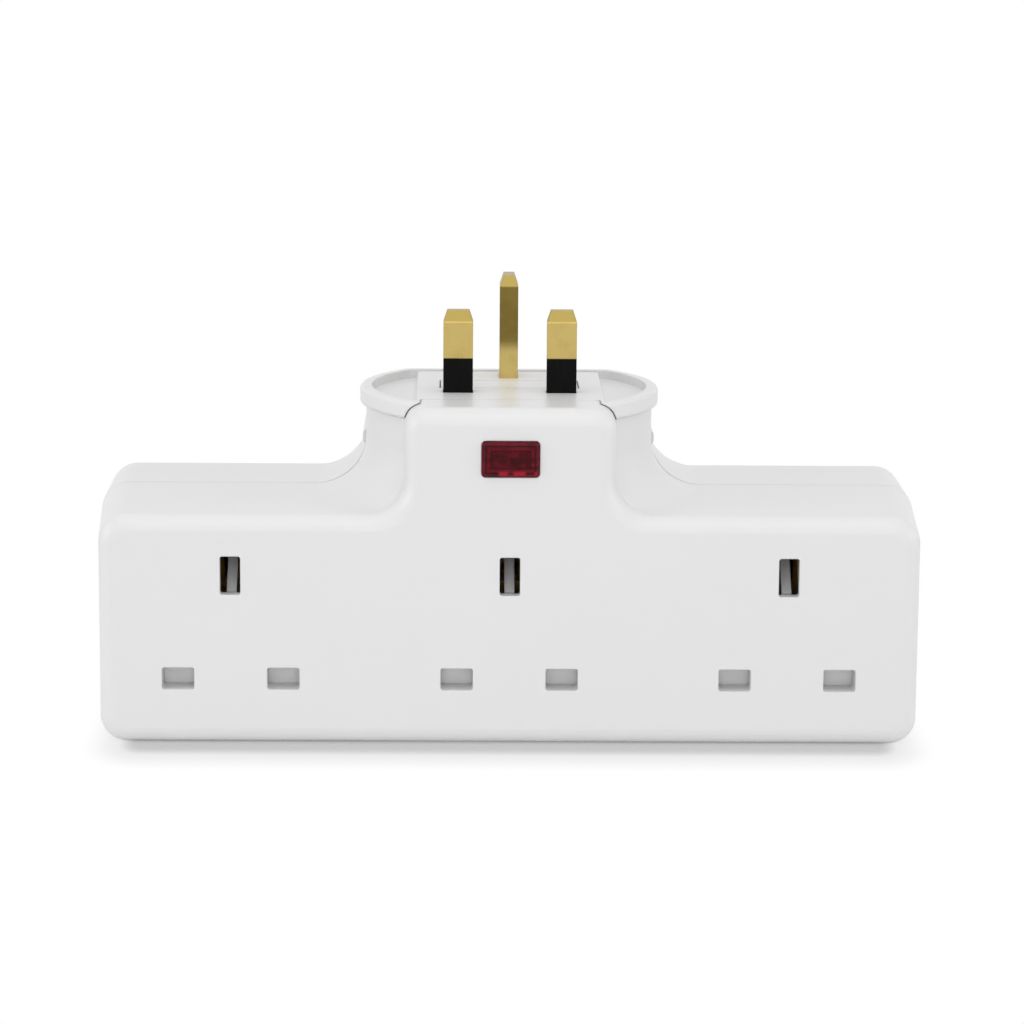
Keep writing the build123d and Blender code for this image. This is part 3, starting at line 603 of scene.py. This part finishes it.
# return springs, rebuilt as smooth copies of the CAD springs and joined to the case
returnSpring = {"sockets": ("left", "middle", "right"), "body": "case", "slack": 0.00004, "merge": 0.000001}
for socket in returnSpring["sockets"]:
    wire = bmesh.new()
    wire.from_mesh(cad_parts[socket + "_spring"].data)
    bmesh.ops.remove_doubles(wire, verts=wire.verts, dist=returnSpring["merge"])
    for face in wire.faces:
        face.smooth = True
    coil = meshObject(socket + "ReturnSpring", wire, looks["steel"])
    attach(coil, returnSpring["body"])
    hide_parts(socket + "_spring")
    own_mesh(coil)

# floor with a painted grey shadow round the object's foot, mixed with its real shadow, and plain white
# farther out
stage = {
    "size": 12.0,
    "segments": 2,
    "matte": rgb(0.9, 0.9, 0.9),
    # painted shadow colour at the object's foot
    "shade": rgb(0.42, 0.42, 0.42),
    "white": rgb(1, 1, 1),
    # share of the painted tone at the foot in what the camera sees; the rest is the real, lit floor
    "lit": 0.65,
    "reach": (1.6, 1.0),  # how fast the shadow ends, sideways and in depth
    "corner": (0.012, 0.0),  # where it starts, inside the object's box
    "fades": [(0.7, 0.002, 0.009), (0.3, 0.006, 0.022)],  # share, from, to
}


def floorWhiteWithPaintedShadow(shader):
    where = shader.out("ShaderNodeTexCoord", pick="Object")
    gaps = []
    for which, (reach, corner) in enumerate(zip(stage["reach"], stage["corner"])):
        low, high = (end[which] for end in cadBox)
        away = abs(shader.axis(where, which) - (low + high) / 2)
        gaps.append(((away - ((high - low) / 2 - corner)) * reach).atLeast(0.0))
    beyond = (gaps[0] * gaps[0] + gaps[1] * gaps[1]).root()
    clear = sum(share * shader.ramp(beyond, start, end) for share, start, end in stage["fades"])
    matte = shader.out("ShaderNodeBsdfDiffuse", Color=stage["matte"])
    # painted shadow: a grey tone at the foot that clears to white farther out
    tone = shader.blend(clear, stage["shade"], stage["white"])
    glow = shader.out("ShaderNodeEmission", Color=tone, Strength=1.0)  # 1 is plain white
    lit = stage["lit"] + (1 - stage["lit"]) * clear
    return shader.out("ShaderNodeMixShader", Fac=lit * shader.seen(), i1=matte, i2=glow)


board = bmesh.new()
bmesh.ops.create_grid(
    board, x_segments=stage["segments"], y_segments=stage["segments"], size=stage["size"] / 2
)
floor = meshObject("floor", board, finish("floor_white_with_painted_shadow", floorWhiteWithPaintedShadow))

# soft studio light, with a plain white surround for the camera
surround = {"colour": rgb(1, 1, 1), "ambient": 0.48}
lampAim = (0, 0, 0.045)
lamps = [
    {"name": "overhead", "place": (0.0, 0.1, 1.2), "size": 1.6, "power": 4.8},
    {"name": "key", "place": (0.0, -0.8, 1.0), "size": 0.8, "power": 2.7},
    {"name": "left", "place": (-1.3, -0.45, 0.4), "size": 0.9, "power": 5.4},
    {"name": "right", "place": (1.3, -0.45, 0.4), "size": 0.9, "power": 4.6},
    {"name": "front", "place": (0.0, -1.4, 0.35), "size": 0.7, "power": 2.3},
]
sky = bpy.data.worlds.new("studio")
sky.use_nodes = True
bpy.context.scene.world = sky
skyShader = Shader(sky.node_tree)
skyStrength = surround["ambient"] + (1 - surround["ambient"]) * skyShader.seen().atMost(1.0)
skyLight = skyShader.out("ShaderNodeBackground", Color=surround["colour"], Strength=skyStrength)
skyShader.add("ShaderNodeOutputWorld", Surface=skyLight)
for lamp in lamps:
    light = bpy.data.lights.new(lamp["name"], "AREA")
    light.shape = "SQUARE"
    light.size = lamp["size"]
    light.energy = lamp["power"]
    lightObject = newObject(lamp["name"], light)
    lightObject.location = lamp["place"]
    aim = Vector(lampAim) - Vector(lamp["place"])
    lightObject.rotation_euler = aim.to_track_quat("-Z", "Y").to_euler()
print("studio ready")

# camera at the photograph's angle
shot = {
    "target": (0.00078, -0.0032, 0.0446),
    "distance": 0.8,
    "azimuth": -0.86,
    "elevation": 10.94,
    "roll": 0.43,
    "lens": 129.2,
    "sensor": 36,
    "farthest": 50,
}
swing, lift, roll = (math.radians(shot[key]) for key in ("azimuth", "elevation", "roll"))
back = Vector((math.sin(swing) * math.cos(lift), -math.cos(swing) * math.cos(lift), math.sin(lift)))
right = Vector((math.cos(swing), math.sin(swing), 0))
up = back.cross(right)
rolledRight = math.cos(roll) * right + math.sin(roll) * up
rolledUp = math.cos(roll) * up - math.sin(roll) * right
turn = Matrix((rolledRight, rolledUp, back)).transposed()
cameraData = bpy.data.cameras.new("shot")
cameraData.lens = shot["lens"]
cameraData.sensor_width = shot["sensor"]
cameraData.clip_end = shot["farthest"]
camera = newObject("shot", cameraData)
camera.matrix_world = Matrix.Translation(Vector(shot["target"]) + back * shot["distance"]) @ turn.to_4x4()
bpy.context.scene.camera = camera
bpy.context.scene.view_settings.view_transform = "Standard"

print("scene done")
